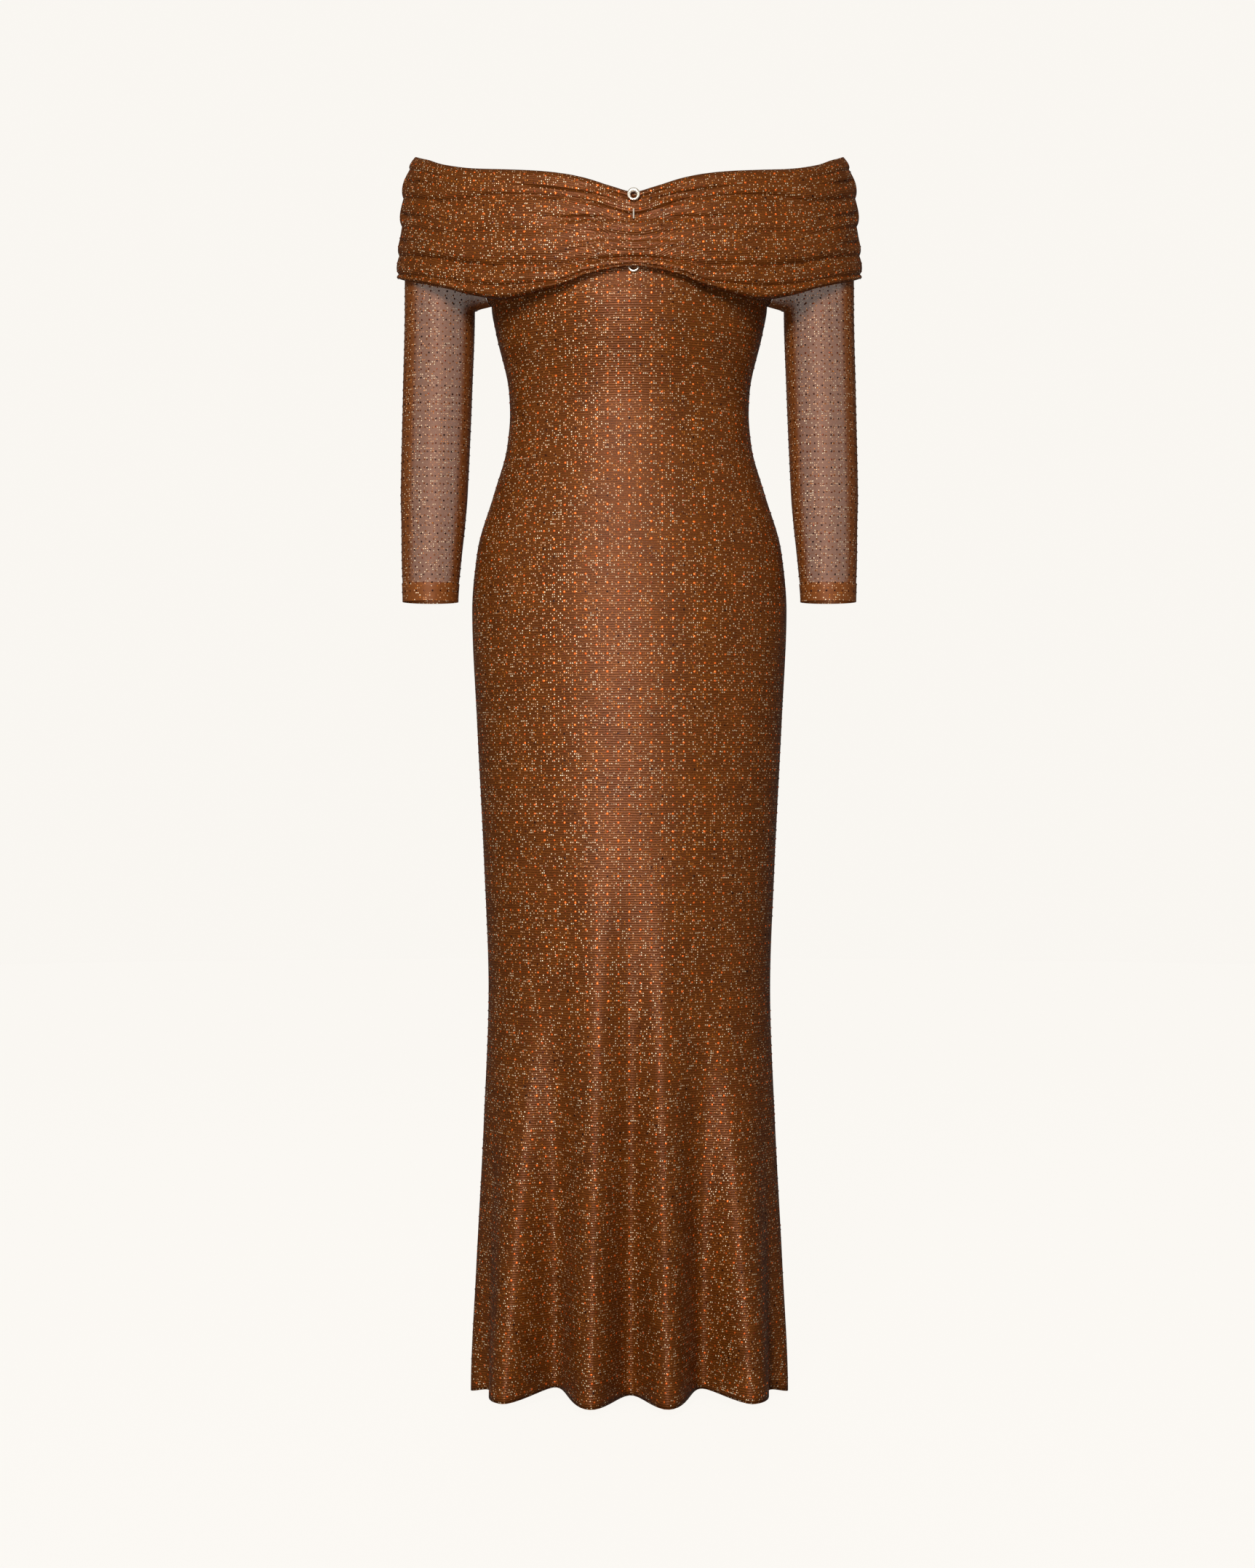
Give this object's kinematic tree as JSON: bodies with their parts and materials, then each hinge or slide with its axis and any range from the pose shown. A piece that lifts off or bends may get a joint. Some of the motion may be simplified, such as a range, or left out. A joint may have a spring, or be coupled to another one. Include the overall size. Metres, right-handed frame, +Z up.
{
  "type": "off-shoulder dress",
  "caption": "Floor-length off-shoulder dress in glitter knit, worn form, with a draped band gathered by gold trim, close sheer sleeves and a softly fluted hem",
  "frame": {"origin": "inside the band, on the centre line between bust and back, at the height where the bust and the upper arms hold the dress up", "axes": "+Z up, the front faces -Y, the wearer's left is +X"},
  "size_m": [0.503, 0.2554, 1.3346],
  "materials": {
    "glitter_knit": "rust knit with metallic yarn and glitter",
    "sheer_knit": "sheer rust mesh with glitter dots",
    "gold_trim": "polished pale gold"
  },
  "bodies": {
    "root": {"front": "glitter_knit", "back": "glitter_knit", "sleeve_left": "sheer_knit", "sleeve_right": "sheer_knit", "band_front": "glitter_knit", "band_back": "glitter_knit", "gather_ring_top": "gold_trim", "gather_ring_bottom": "gold_trim", "gather_pin": "gold_trim"}
  },
  "joints": []
}
